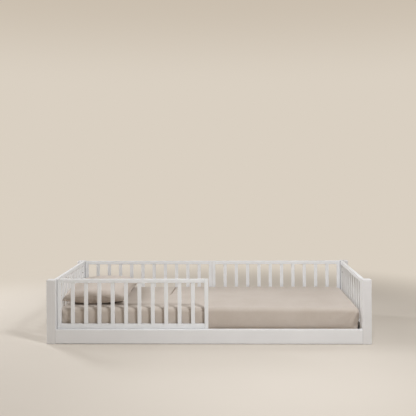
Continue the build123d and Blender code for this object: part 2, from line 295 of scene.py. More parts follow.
class TimberGrain(Effect):
    """Growth rings and fibres of sawn softwood, with its length along Z."""

    name = "timber_grain"
    takes = {"Vector": "NodeSocketVector", "Pitch": "NodeSocketFloat"}
    gives = ("Rings", "Fibres")
    drift = (9.0, 9.0, 1.3)
    wander = 0.03
    heart = (0.031, 0.087, 0.0)
    darkening = (0.35, 0.9)
    edge = (1.0, 0.92)
    detail = 3.0
    fibre = (900.0, 900.0, 14.0)
    fibre_rough = 0.6

    def draw(self, graph: NodeGraph, given: Sockets) -> Sockets:
        """Lay out rings that wander along the length, and fine fibres.

        Args:
            graph: The group's node tree.
            given: The group's inputs by name.

        Returns:
            The value for each of the group's outputs.
        """
        slow = graph.vector("MULTIPLY", given["Vector"], self.drift)
        wander = graph.math("MULTIPLY", graph.noise(slow, 1.0, self.detail), self.wander)
        flat = graph.vector("MULTIPLY", given["Vector"], (1.0, 1.0, 0.0))
        far = graph.measure("LENGTH", graph.vector("ADD", flat, self.heart))
        count = graph.math("DIVIDE", graph.math("ADD", far, wander), given["Pitch"])
        part = graph.math("FRACT", count)
        late, edge = graph.span(part, *self.darkening), graph.span(part, *self.edge)
        fine = graph.vector("MULTIPLY", given["Vector"], self.fibre)
        fibres = graph.noise(fine, 1.0, self.detail, self.fibre_rough)
        return {"Rings": graph.math("MULTIPLY", late, edge), "Fibres": fibres}


class PlainWeave(Effect):
    """Crossing threads over a cloth, laid on by the side that the cloth faces."""

    name = "plain_weave"
    takes = {
        "Vector": "NodeSocketVector",
        "Facing": "NodeSocketVector",
        "Pitch": "NodeSocketFloat",
    }
    gives = ("Threads", "Slubs")
    weft = (18.0, 420.0, 420.0)
    warp = (420.0, 18.0, 60.0)
    thick = (0.5, 0.78)

    def draw(self, graph: NodeGraph, given: Sockets) -> Sockets:
        """Lay out crossings on three planes, and thick places along the threads.

        Args:
            graph: The group's node tree.
            given: The group's inputs by name.

        Returns:
            The value for each of the group's outputs.
        """
        turn = graph.math("DIVIDE", math.pi, given["Pitch"])
        scaled = graph.join("ShaderNodeVectorMath", "SCALE", given["Vector"])
        graph.feed(scaled.inputs["Scale"], turn)
        waves = graph.place("ShaderNodeSeparateXYZ")
        graph.feed(waves.inputs[0], graph.vector("SINE", scaled.outputs[0]))
        x, y, z = waves.outputs
        planes = graph.place("ShaderNodeCombineXYZ")
        for socket, pair in zip(planes.inputs, ((y, z), (x, z), (x, y))):
            graph.feed(socket, graph.math("MULTIPLY", *pair))
        square = graph.vector("MULTIPLY", given["Facing"], given["Facing"])
        crossing = graph.measure("DOT_PRODUCT", planes.outputs[0], square)
        threads = graph.math("MULTIPLY_ADD", crossing, 0.5, 0.5)
        along = graph.noise(graph.vector("MULTIPLY", given["Vector"], self.weft), 1.0)
        across = graph.noise(graph.vector("MULTIPLY", given["Vector"], self.warp), 1.0)
        slubs = graph.span(graph.math("MAXIMUM", along, across), *self.thick)
        return {"Threads": threads, "Slubs": slubs}


class Mottle(Effect):
    """Slow changes of tone over a surface."""

    name = "mottle"
    takes = {"Vector": "NodeSocketVector", "Scale": "NodeSocketFloat"}
    gives = ("Clouds",)
    contrast = (0.3, 0.7)
    detail = (4.0, 0.55)

    def draw(self, graph: NodeGraph, given: Sockets) -> Sockets:
        """Return clouds at the given scale as the group's only output."""
        clouds = graph.noise(given["Vector"], given["Scale"], *self.detail)
        return {"Clouds": graph.span(clouds, *self.contrast)}


class JointShade(Effect):
    """Painted shade that darkens joints and inner corners, where surfaces stand close together."""

    name = "joint_shade"
    takes = {"Reach": "NodeSocketFloat", "Open": "NodeSocketFloat", "Closed": "NodeSocketFloat"}
    gives = ("Shade",)
    own_only = False
    samples = 6

    def draw(self, graph: NodeGraph, given: Sockets) -> Sockets:
        """Lay out a painted-shade mask that is full where surfaces stand close together.

        Args:
            graph: The group's node tree.
            given: The group's inputs by name.

        Returns:
            The value for the group's output.
        """
        kind = "ShaderNodeAmbientOcclusion"
        near = graph.place(kind, samples=self.samples, only_local=self.own_only)
        graph.feed(near.inputs["Distance"], given["Reach"])
        return {"Shade": graph.span(near.outputs["AO"], given["Open"], given["Closed"])}


class FoldShade(JointShade):
    """Painted shade inside the folds of one piece of cloth, whatever lies beside it."""

    name = "fold_shade"
    own_only = True


TIMBER_GRAIN = TimberGrain()
PLAIN_WEAVE = PlainWeave()
MOTTLE = Mottle()
JOINT_SHADE = JointShade()
FOLD_SHADE = FoldShade()


class Surface:
    """A material in the making: its graph, its shader and its coordinates."""

    spread = (0.9, 1.7, 5.0)

    def __init__(self, name: str) -> None:
        """Start a material with a plain shader.

        Args:
            name: The material's name.
        """
        self.material = bpy.data.materials.new(name)
        self.material.use_nodes = True
        self.graph = NodeGraph(self.material.node_tree)
        self.shader = self.material.node_tree.nodes["Principled BSDF"]
        coordinates = self.graph.place("ShaderNodeTexCoord")
        self.place = coordinates.outputs["Object"]
        self.facing = coordinates.outputs["Normal"]

    def own_place(self, turn: Triple) -> Socket:
        """Turn the coordinates along the grain and move them on for each piece.

        Args:
            turn: The turn about the axes, in radians.

        Returns:
            The coordinates of the piece.
        """
        mapping = self.graph.place("ShaderNodeMapping")
        self.graph.feed(mapping.inputs["Vector"], self.place)
        mapping.inputs["Rotation"].default_value = turn
        chance = self.graph.place("ShaderNodeObjectInfo").outputs["Random"]
        shift = self.graph.place("ShaderNodeCombineXYZ")
        for socket, reach in zip(shift.inputs, self.spread):
            self.graph.feed(socket, self.graph.math("MULTIPLY", chance, reach))
        return self.graph.vector("ADD", mapping.outputs[0], shift.outputs[0])

    def set(self, **values: Feed) -> None:
        """Give the shader's sockets their values, with _ for each space in a name."""
        for name, value in values.items():
            self.graph.feed(self.shader.inputs[name.replace("_", " ")], value)


@dataclass(frozen=True)
class WhitePaint:
    """Satin white paint over timber whose grain shows through a little, with painted shade in its
    joints and inner corners.
    """

    name: str
    colour: Colour
    lie: Lie
    ring_pitch: float = 0.007
    cloud_scale: float = 5.0
    peel_scale: float = 700.0
    ring_tone: float = 0.35
    cloud_tone: float = 0.45
    thin: float = 0.955
    joint_reach: float = 0.006
    joint_span: Pair = (0.8, 0.36)
    joint_shade_strength: float = 0.75
    joint_shade_dark: float = 0.45
    roughness: Pair = (0.36, 0.5)
    gloss: float = 0.42
    fibre_rise: float = 0.6
    peel_rise: float = 0.5
    ring_rise: float = -0.5
    relief: Pair = (0.00025, 0.55)

    def build(self) -> bpy.types.Material:
        """Mix the paint.

        Returns:
            The paint as a material.
        """
        surface = Surface(self.name)
        graph = surface.graph
        place = surface.own_place(self.lie.value)
        grain = TIMBER_GRAIN.use(graph, Vector=place, Pitch=self.ring_pitch)
        tone = MOTTLE.use(graph, Vector=place, Scale=self.cloud_scale)
        share = graph.weigh((grain["Rings"], self.ring_tone), (tone["Clouds"], self.cloud_tone))
        coat = graph.blend(share, opaque(self.colour), opaque(self.colour, self.thin))
        # Painted shade: the coat is darkened in joints and inner corners, where surfaces stand
        # close together.
        start, end = self.joint_span
        joints = JOINT_SHADE.use(graph, Reach=self.joint_reach, Open=start, Closed=end)
        shade = graph.math("MULTIPLY", joints["Shade"], self.joint_shade_strength)
        peel = graph.noise(surface.place, self.peel_scale)
        height = graph.weigh(
            (grain["Fibres"], self.fibre_rise),
            (peel, self.peel_rise),
            (grain["Rings"], self.ring_rise),
        )
        surface.set(
            Base_Color=graph.blend(shade, coat, opaque(self.colour, self.joint_shade_dark)),
            Roughness=graph.span(tone["Clouds"], 0.0, 1.0, self.roughness),
            Normal=graph.bump(height, self.relief),
            Specular_IOR_Level=self.gloss,
        )
        return surface.material


@dataclass(frozen=True)
class BareTimber:
    """Planed timber with no finish."""

    name: str
    early: Colour
    late: Colour
    lie: Lie
    ring_pitch: float = 0.0055
    cloud_scale: float = 7.0
    cloud_tone: float = 0.4
    pale: float = 1.14
    pore_span: Pair = (0.58, 0.75)
    pore_tone: float = 0.35
    dark: float = 0.62
    roughness: Pair = (0.72, 0.56)
    fibre_rise: float = 1.0
    ring_rise: float = -0.4
    relief: Pair = (0.0003, 0.8)

    def build(self) -> bpy.types.Material:
        """Lay out the timber.

        Returns:
            The timber as a material.
        """
        surface = Surface(self.name)
        graph = surface.graph
        place = surface.own_place(self.lie.value)
        grain = TIMBER_GRAIN.use(graph, Vector=place, Pitch=self.ring_pitch)
        tone = MOTTLE.use(graph, Vector=place, Scale=self.cloud_scale)
        ringed = graph.blend(grain["Rings"], opaque(self.early), opaque(self.late))
        patchy = graph.math("MULTIPLY", tone["Clouds"], self.cloud_tone)
        clouded = graph.blend(patchy, ringed, opaque(self.early, self.pale))
        open_grain = graph.span(grain["Fibres"], *self.pore_span)
        pores = graph.math("MULTIPLY", open_grain, self.pore_tone)
        height = graph.weigh((grain["Fibres"], self.fibre_rise), (grain["Rings"], self.ring_rise))
        surface.set(
            Base_Color=graph.blend(pores, clouded, opaque(self.late, self.dark)),
            Roughness=graph.span(grain["Rings"], 0.0, 1.0, self.roughness),
            Normal=graph.bump(height, self.relief),
        )
        return surface.material


@dataclass(frozen=True)
class PlatedSteel:
    """Bright zinc plating with a fine crystal pattern and dull patches."""

    name: str
    colour: Colour
    cloud_scale: float = 60.0
    cloud_tone: float = 0.6
    dull: float = 0.74
    crystal_scale: float = 900.0
    roughness: Pair = (0.24, 0.46)
    relief: Pair = (0.0002, 0.3)

    def build(self) -> bpy.types.Material:
        """Lay out the plating.

        Returns:
            The plating as a material.
        """
        surface = Surface(self.name)
        graph = surface.graph
        tone = MOTTLE.use(graph, Vector=surface.place, Scale=self.cloud_scale)
        crystals = graph.place("ShaderNodeTexVoronoi")
        graph.feed(crystals.inputs["Vector"], surface.place)
        crystals.inputs["Scale"].default_value = self.crystal_scale
        share = graph.math("MULTIPLY", tone["Clouds"], self.cloud_tone)
        surface.set(
            Base_Color=graph.blend(share, opaque(self.colour), opaque(self.colour, self.dull)),
            Metallic=1.0,
            Roughness=graph.span(tone["Clouds"], 0.0, 1.0, self.roughness),
            Normal=graph.bump(crystals.outputs["Distance"], self.relief),
        )
        return surface.material


@dataclass(frozen=True)
class PressedFelt:
    """Wool felt of mixed fibres."""

    name: str
    colour: Colour
    pale: Colour
    cloud_scale: float = 90.0
    fibre: Triple = (900.0, 1500.0, 2200.0)
    fibre_span: Pair = (0.42, 0.68)
    fibre_detail: Pair = (4.0, 0.7)
    fibre_tone: float = 0.7
    cloud_tone: float = 0.2
    fluff_span: Pair = (0.3, 0.7)
    roughness: Pair = (0.86, 0.98)
    relief: Pair = (0.0008, 0.9)

    def build(self) -> bpy.types.Material:
        """Lay out the felt.

        Returns:
            The felt as a material.
        """
        surface = Surface(self.name)
        graph = surface.graph
        tone = MOTTLE.use(graph, Vector=surface.place, Scale=self.cloud_scale)
        lengths = graph.vector("MULTIPLY", surface.place, self.fibre)
        fibres = graph.noise(lengths, 1.0, *self.fibre_detail)
        mixed = graph.span(fibres, *self.fibre_span)
        share = graph.weigh((mixed, self.fibre_tone), (tone["Clouds"], self.cloud_tone))
        surface.set(
            Base_Color=graph.blend(share, opaque(self.colour), opaque(self.pale)),
            Roughness=graph.span(fibres, *self.fluff_span, self.roughness),
            Normal=graph.bump(fibres, self.relief),
        )
        return surface.material


@dataclass(frozen=True)
class WovenCotton:
    """Plain woven cotton with slubs, fine rumples, a soft sheen and painted shade in its own folds.
    """

    name: str
    colour: Colour
    shade: Colour
    # Painted shade: the brown colour that the cloth takes inside its folds.
    fold: Colour = linear(108, 70, 40)
    thread_pitch: float = 0.0006
    cloud_scale: float = 6.0
    slub_tone: float = 0.3
    gap_tone: float = 0.22
    cloud_tone: float = 0.3
    rumple_scale: float = 34.0
    rumple_detail: Pair = (3.0, 0.55)
    rumple_rise: float = 2.25
    thread_rise: float = 0.4
    slub_rise: float = 0.35
    fold_reach: float = 0.02
    fold_span: Pair = (0.84, 0.2)
    fold_shade_strength: float = 0.85
    roughness: Pair = (0.94, 0.8)
    relief: Pair = (0.0004, 0.8)
    sheen: float = 0.12
    sheen_roughness: float = 0.5
    gloss: float = 0.25

    def build(self) -> bpy.types.Material:
        """Weave the cloth.

        Returns:
            The cloth as a material.
        """
        surface = Surface(self.name)
        graph, place = surface.graph, surface.place
        pitch = self.thread_pitch
        weave = PLAIN_WEAVE.use(graph, Vector=place, Facing=surface.facing, Pitch=pitch)
        tone = MOTTLE.use(graph, Vector=place, Scale=self.cloud_scale)
        gaps = graph.math("SUBTRACT", 1.0, weave["Threads"])
        share = graph.weigh(
            (weave["Slubs"], self.slub_tone),
            (gaps, self.gap_tone),
            (tone["Clouds"], self.cloud_tone),
        )
        woven = graph.blend(share, opaque(self.colour), opaque(self.shade))
        # Painted shade: the cloth turns towards the brown fold colour inside its own folds and
        # creases.
        start, end = self.fold_span
        folds = FOLD_SHADE.use(graph, Reach=self.fold_reach, Open=start, Closed=end)
        painted_fold_shade = graph.math("MULTIPLY", folds["Shade"], self.fold_shade_strength)
        rumples = graph.noise(place, self.rumple_scale, *self.rumple_detail)
        height = graph.weigh(
            (rumples, self.rumple_rise),
            (weave["Threads"], self.thread_rise),
            (weave["Slubs"], self.slub_rise),
        )
        surface.set(
            Base_Color=graph.blend(painted_fold_shade, woven, opaque(self.fold)),
            Roughness=graph.span(weave["Threads"], 0.0, 1.0, self.roughness),
            Normal=graph.bump(height, self.relief),
            Sheen_Weight=self.sheen,
            Sheen_Roughness=self.sheen_roughness,
            Specular_IOR_Level=self.gloss,
        )
        return surface.material


@dataclass(frozen=True)
class QuiltedTicking:
    """Cream mattress ticking with a fine stripe, quilted in diamonds."""

    name: str
    colour: Colour
    stripe: Colour
    thread_pitch: float = 0.0009
    cloud_scale: float = 8.0
    stripe_pitch: float = 0.012
    stripe_span: Pair = (0.0012, 0.0006)
    stripe_tone: float = 0.6
    cloud_tone: float = 0.15
    half_diamond: float = 0.045
    puff_width: float = 0.018
    puff_rise: float = 8.0
    thread_rise: float = 0.5
    roughness: Pair = (0.92, 0.8)
    relief: Pair = (0.0004, 0.9)

    def build(self) -> bpy.types.Material:
        """Weave and quilt the ticking.

        Returns:
            The ticking as a material.
        """
        surface = Surface(self.name)
        graph, place = surface.graph, surface.place
        pitch = self.thread_pitch
        weave = PLAIN_WEAVE.use(graph, Vector=place, Facing=surface.facing, Pitch=pitch)
        tone = MOTTLE.use(graph, Vector=place, Scale=self.cloud_scale)
        parts = graph.place("ShaderNodeSeparateXYZ")
        graph.feed(parts.inputs[0], place)
        x, y, _ = parts.outputs
        stripes = graph.span(graph.math("PINGPONG", y, self.stripe_pitch), *self.stripe_span)
        share = graph.weigh((stripes, self.stripe_tone), (tone["Clouds"], self.cloud_tone))
        one, other = (
            graph.math("PINGPONG", graph.math(way, x, y), self.half_diamond)
            for way in ("ADD", "SUBTRACT")
        )
        puff = graph.span(graph.math("MINIMUM", one, other), 0.0, self.puff_width)
        height = graph.weigh((puff, self.puff_rise), (weave["Threads"], self.thread_rise))
        surface.set(
            Base_Color=graph.blend(share, opaque(self.colour), opaque(self.stripe)),
            Roughness=graph.span(weave["Threads"], 0.0, 1.0, self.roughness),
            Normal=graph.bump(height, self.relief),
        )
        return surface.material


@dataclass(frozen=True)
class Ground:
    """Pale studio floor that runs into the backdrop's colour far from the bed."""

    name: str
    colour: Colour
    far: Colour
    cloud_scale: float = 0.8
    worn: float = 0.985
    roughness: Pair = (0.82, 0.92)
    gloss: float = 0.1
    fade: Pair = (1.7, 3.2)

    def build(self) -> bpy.types.Material:
        """Lay out the floor.

        Returns:
            The floor as a material.
        """
        surface = Surface(self.name)
        graph = surface.graph
        tone = MOTTLE.use(graph, Vector=surface.place, Scale=self.cloud_scale)
        worn = opaque(self.colour, self.worn)
        surface.set(
            Base_Color=graph.blend(tone["Clouds"], opaque(self.colour), worn),
            Roughness=graph.span(tone["Clouds"], 0.0, 1.0, self.roughness),
            Specular_IOR_Level=self.gloss,
        )
        glow = graph.place("ShaderNodeEmission")
        glow.inputs["Color"].default_value = opaque(self.far)
        path = graph.place("ShaderNodeLightPath").outputs
        seen = graph.math("MAXIMUM", path["Is Camera Ray"], path["Is Glossy Ray"])
        away = graph.span(graph.measure("LENGTH", surface.place), *self.fade)
        share = graph.math("MULTIPLY", seen, away)
        mixed = graph.mix_shaders(share, surface.shader.outputs[0], glow.outputs[0])
        outlet = surface.material.node_tree.nodes["Material Output"]
        graph.feed(outlet.inputs["Surface"], mixed)
        return surface.material


def dress(piece: bpy.types.Object, material: bpy.types.Material) -> None:
    """Give a piece one material all over."""
    piece.data.materials.clear()
    piece.data.materials.append(material)


def mesh_object(name: str, points: np.ndarray, faces: Faces) -> bpy.types.Object:
    """Make a smooth mesh object from points and faces.

    Args:
        name: The piece's name.
        points: One row of three coordinates for each point.
        faces: The points of each face, by index.

    Returns:
        The new object, in the scene.
    """
    mesh = bpy.data.meshes.new(name)
    mesh.from_pydata(points.tolist(), [], faces)
    mesh.validate()
    mesh.shade_smooth()
    piece = bpy.data.objects.new(name, mesh)
    bpy.context.scene.collection.objects.link(piece)
    return piece


def read_points(mesh: bpy.types.Mesh, kind: str = "co") -> np.ndarray:
    """Read the points of a mesh.

    Args:
        mesh: The mesh.
        kind: What to read, co for the places and normal for the normals.

    Returns:
        One row of three coordinates for each point.
    """
    values = np.empty(len(mesh.vertices) * 3)
    mesh.vertices.foreach_get(kind, values)
    return values.reshape(-1, 3)


def write_points(mesh: bpy.types.Mesh, points: np.ndarray) -> None:
    """Move the points of a mesh to new places."""
    mesh.vertices.foreach_set("co", points.ravel())
    mesh.update()


def grid_faces(index: np.ndarray) -> Faces:
    """Return the faces of a grid of point numbers, facing up."""
    corners = (index[:-1, :-1], index[:-1, 1:], index[1:, 1:], index[1:, :-1])
    return [tuple(face) for face in np.stack(corners, axis=-1).reshape(-1, 4).tolist()]


def border_of(grid: np.ndarray) -> np.ndarray:
    """Return what lies round the border of a grid, in order."""
    return np.concatenate([grid[0, :-1], grid[:-1, -1], grid[-1, :0:-1], grid[:0:-1, 0]])


def eased(value: np.ndarray, low: float, high: float) -> np.ndarray:
    """Return 0 below low, 1 above high and a smooth step between."""
    share = np.clip((value - low) / (high - low), 0.0, 1.0)
    return share * share * (3 - 2 * share)


SEED_STEP = (3.1, 7.7, 1.9)


@dataclass(frozen=True)
class Unevenness:
    """Smooth hills and hollows: their height, their size and a number that picks the pattern."""

    height: float
    size: float
    seed: float

    def at(self, points: np.ndarray) -> np.ndarray:
        """Find the height at points.

        Args:
            points: One row of three coordinates for each point.

        Returns:
            One height for each point.
        """
        shift = Vector([self.seed * step for step in SEED_STEP])
        values = [noise.noise(Vector(point) / self.size + shift) for point in points]
        return self.height * np.array(values)


@dataclass
class Timberwork:
    """The painted posts, aprons and guards; their one white paint takes three tones as painted
    shade.
    """

    # Painted shade: one white paint takes three tones here, darker on the posts and lighter on the
    # guards, standing in for how light falls on them.
    post_shaded_white: Colour = linear(225, 224, 224)
    apron_shaded_white: Colour = linear(232, 232, 233)
    guard_shaded_white: Colour = linear(234, 235, 236)

    def lie_of(self, node: str) -> Lie:
        """Find how the timber of a node lies.

        Args:
            node: The node's name.

        Returns:
            The way its grain runs.
        """
        if node.startswith("post_") or node.endswith(("_slats", "_stile_a", "_stile_b")):
            return Lie.UPRIGHT
        if node.startswith(("apron_left", "apron_right", "guard_left_", "guard_right_")):
            return Lie.CROSSWISE
        return Lie.LENGTHWISE

    def paint(self) -> None:
        """Paint every post, apron and guard piece along its own grain."""
        shaded_whites = {
            "post": self.post_shaded_white,
            "apron": self.apron_shaded_white,
            "guard": self.guard_shaded_white,
        }
        made: dict[str, bpy.types.Material] = {}
        for node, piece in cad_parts.items():
            kind = node.split("_")[0]
            if kind not in shaded_whites or node.endswith(("_bolts", "_dowels", "_screws")):
                continue
            lie = self.lie_of(node)
            name = f"white_paint_{kind}_{lie.name.lower()}"
            if name not in made:
                made[name] = WhitePaint(name, shaded_whites[kind], lie).build()
            dress(piece, made[name])
            log.info("painted %s", node)


@dataclass
class SlattedBase:
    """The bare ledgers and bed slats under the mattress."""

    early: Colour = linear(226, 199, 156)
    late: Colour = linear(190, 146, 96)

    def dress(self) -> None:
        """Lay pine grain along the ledgers and across the bed slats."""
        along, across = (
            BareTimber(f"bare_pine_{lie.name.lower()}", self.early, self.late, lie).build()
            for lie in (Lie.LENGTHWISE, Lie.CROSSWISE)
        )
        for node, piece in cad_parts.items():
            if node in ("ledger_front", "ledger_rear"):
                dress(piece, along)
            elif node.startswith("bed_slat_") and node != "bed_slat_screws":
                dress(piece, across)
            else:
                continue
            log.info("laid grain along %s", node)


@dataclass
class Fastenings:
    """The bolts, nuts, screws, dowels and the felt under the posts."""

    zinc: Colour = (0.62, 0.63, 0.64)
    beech: Colour = linear(214, 176, 132)
    beech_dark: Colour = linear(170, 124, 82)
    felt: Colour = linear(74, 68, 62)
    felt_pale: Colour = linear(128, 118, 106)

    def dress(self) -> None:
        """Plate the steel, and lay grain on the dowels and fibres on the felt."""
        plated = PlatedSteel("zinc_plate", self.zinc).build()
        peg = BareTimber("bare_beech", self.beech, self.beech_dark, Lie.LENGTHWISE).build()
        pad = PressedFelt("wool_felt", self.felt, self.felt_pale).build()
        for node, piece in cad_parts.items():
            if node.endswith(("_bolts", "_nuts", "_screws")):
                dress(piece, plated)
            elif node.endswith("_dowels"):
                dress(piece, peg)
            elif node == "glides":
                dress(piece, pad)
            else:
                continue
            log.info("finished %s", node)


@dataclass
class BlockForm:
    """A soft block: a flat top with rounded edges and corners, and walls.

    Its floor is closed, or open inside a tuck of some width. Its points lie a fine step apart in a
    band along the top's border, a coarse step apart inside it, and closest beside a fold.
    """

    low: Vector
    high: Vector
    corner: float
    top_edge: float
    bottom_edge: float
    fine: float
    coarse: float
    band: float
    tuck: float = 0.0
    fold_at: float = 0.0
    fold_band: float = 0.0
    fold_clear: float = 0.3
    corner_steps: int = 5
    edge_steps: int = 8
    wall_steps: int = 11
    tuck_steps: int = 8
    fold_steps: int = 21
    least_corner: float = 0.004
    droop: float = 0.014
    droop_reach: float = 0.045

    def flat_half(self) -> Pair:
        """Return half of the flat top's length and width."""
        size = self.high - self.low
        return size.x / 2 - self.top_edge, size.y / 2 - self.top_edge

    def flat_corner(self) -> float:
        """Return the corner radius of the flat top."""
        return self.corner - self.top_edge

    def stations(self, half: float, fold_band: float) -> np.ndarray:
        """Find positions across one side, close together near both ends and near a fold.

        Args:
            half: Half of the flat top's extent along the side.
            fold_band: How far to either side of the fold they are close together, or 0.

        Returns:
            The positions from -half to half.
        """
        inner = half - self.flat_corner()
        tip = np.linspace(inner, half, self.corner_steps + 1)
        near = max(2, round(self.band / self.fine))
        mid = max(2, round((inner - self.band) / self.coarse))
        middle = np.linspace(0, inner - self.band, mid + 1)
        outer = np.linspace(inner - self.band, inner, near + 1)
        side = np.concatenate([middle, outer[1:], tip[1:]])
        if fold_band:
            ends = self.fold_at - fold_band, self.fold_at + fold_band
            away = np.abs(side - self.fold_at)
            clear = away > fold_band + self.coarse * self.fold_clear
            side = np.sort(np.concatenate([side[clear], np.linspace(*ends, self.fold_steps)]))
        return np.concatenate([-side[:0:-1], side])

    def plate(self, half_x: float, half_y: float, corner: float) -> np.ndarray:
        """Fill a rounded rectangle with a grid of points.

        Args:
            half_x: Half of its length.
            half_y: Half of its width.
            corner: The radius of its corners.

        Returns:
            An array of rows, columns and two coordinates.
        """
        flat_x, flat_y = self.flat_half()
        flat_corner = self.flat_corner()
        across_x, across_y = self.stations(flat_x, self.fold_band), self.stations(flat_y, 0.0)
        grid_x, grid_y = np.meshgrid(across_x, across_y)
        over_x = (np.abs(grid_x) - (flat_x - flat_corner)) / flat_corner
        over_y = (np.abs(grid_y) - (flat_y - flat_corner)) / flat_corner
        inside_x = np.clip(np.abs(grid_x) / (flat_x - flat_corner), 0, 1) * (half_x - corner)
        inside_y = np.clip(np.abs(grid_y) / (flat_y - flat_corner), 0, 1) * (half_y - corner)
        u, v = np.clip(over_x, 0, 1), np.clip(over_y, 0, 1)
        both = (over_x > 0) & (over_y > 0)
        reach_x = np.where(both, u * np.sqrt(1 - v * v / 2), u) * corner
        reach_y = np.where(both, v * np.sqrt(1 - u * u / 2), v) * corner
        x, y = np.sign(grid_x) * (inside_x + reach_x), np.sign(grid_y) * (inside_y + reach_y)
        return np.stack([x, y], axis=-1)

    def profile(self, height: float) -> list[Pair]:
        """Follow the wall from the top edge down.

        Args:
            height: The block's height.

        Returns:
            For each ring, its offset from the flat top and its drop below it.
        """
        top, bottom = self.top_edge, self.bottom_edge
        line = []
        for turn in np.linspace(0, math.pi / 2, self.edge_steps + 1)[1:]:
            line.append((top * math.sin(turn), top * (1 - math.cos(turn))))
        for share in np.linspace(0, 1, self.wall_steps + 1)[1:]:
            line.append((top, top + share * (height - top - bottom)))
        for turn in np.linspace(0, math.pi / 2, self.edge_steps // 2 + 1)[1:]:
            drop = height - bottom * (1 - math.sin(turn))
            line.append((top - bottom * (1 - math.cos(turn)), drop))
        if self.tuck:
            start = line[-1][0]
            for share in np.linspace(0, 1, self.tuck_steps + 1)[1:]:
                line.append((start - share * (self.tuck - bottom), height))
        return line

    def build(self, name: str) -> bpy.types.Object:
        """Make the block's mesh.

        Args:
            name: The piece's name.

        Returns:
            The block in its place.
        """
        size, middle = self.high - self.low, (self.high + self.low) / 2
        half_x, half_y = self.flat_half()
        top = self.plate(half_x, half_y, self.flat_corner())
        index = np.arange(top.shape[0] * top.shape[1]).reshape(top.shape[:2])
        points = np.dstack([top, np.full(index.shape, size.z)]).reshape(-1, 3)
        faces = grid_faces(index)
        upper = border_of(index)
        for offset, drop in self.profile(size.z):
            corner = max(self.flat_corner() + offset, self.least_corner)
            ring = border_of(self.plate(half_x + offset, half_y + offset, corner))
            lower = len(points) + np.arange(len(ring))
            points = np.vstack([points, np.column_stack([ring, np.full(len(ring), size.z - drop)])])
            corners = (upper, lower, np.roll(lower, -1), np.roll(upper, -1))
            faces += [tuple(face) for face in np.stack(corners, axis=-1).tolist()]
            upper = lower
        if not self.tuck:
            points, floor_faces = self.close(points, index, upper)
            faces += floor_faces
        points[:, 2] -= self.droop_at(points, size)
        points += np.array([middle.x, middle.y, self.low.z])
        return mesh_object(name, points, faces)

    def close(
        self, points: np.ndarray, index: np.ndarray, rim: np.ndarray
    ) -> tuple[np.ndarray, Faces]:
        """Close the floor inside the lowest ring.

        Args:
            points: The points so far.
            index: The grid of the top's point numbers.
            rim: The numbers of the lowest ring.

        Returns:
            The points with those of the floor, and the floor's faces.
        """
        inset = self.top_edge - self.bottom_edge
        half_x, half_y = self.flat_half()
        base = self.plate(half_x + inset, half_y + inset, self.corner - self.bottom_edge)
        under = np.full(index.shape, -1)
        under.flat[border_of(index)] = rim
        blank = under.flatten() < 0
        under.flat[np.flatnonzero(blank)] = len(points) + np.arange(blank.sum())
        flat = np.column_stack([base.reshape(-1, 2), np.zeros(index.size)])[blank]
        return np.vstack([points, flat]), [face[::-1] for face in grid_faces(under)]

    def droop_at(self, points: np.ndarray, size: Vector) -> np.ndarray:
        """Return how far points sink towards the corners, most at the top, not at the foot."""
        away = np.hypot(size.x / 2 - np.abs(points[:, 0]), size.y / 2 - np.abs(points[:, 1]))
        return self.droop * np.exp(-away / self.droop_reach) * (points[:, 2] / size.z) ** 2


@dataclass
class MattressCore:
    """The foam block in its ticking, inside the sheet."""

    inset: float = 0.01
    corner: float = 0.06
    top_edge: float = 0.03
    bottom_edge: float = 0.018
    fine: float = 0.012
    coarse: float = 0.03
    band: float = 0.1
    fill: float = 0.9
    cream: Colour = linear(232, 228, 218)
    stripe: Colour = linear(176, 174, 168)

    def build(self) -> bpy.types.Object:
        """Make the block and its ticking.

        Returns:
            The block.
        """
        low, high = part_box("mattress")
        margin = Vector((self.inset, self.inset, self.inset))
        form = BlockForm(
            low + margin,
            high - margin,
            self.corner,
            self.top_edge,
            self.bottom_edge,
            self.fine,
            self.coarse,
            self.band,
        )
        piece = form.build("mattress_core")
        dress(piece, QuiltedTicking("mattress_ticking", self.cream, self.stripe).build())
        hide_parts("mattress")
        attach(piece, "mattress")
        log.info("built %s", piece.name)
        return piece


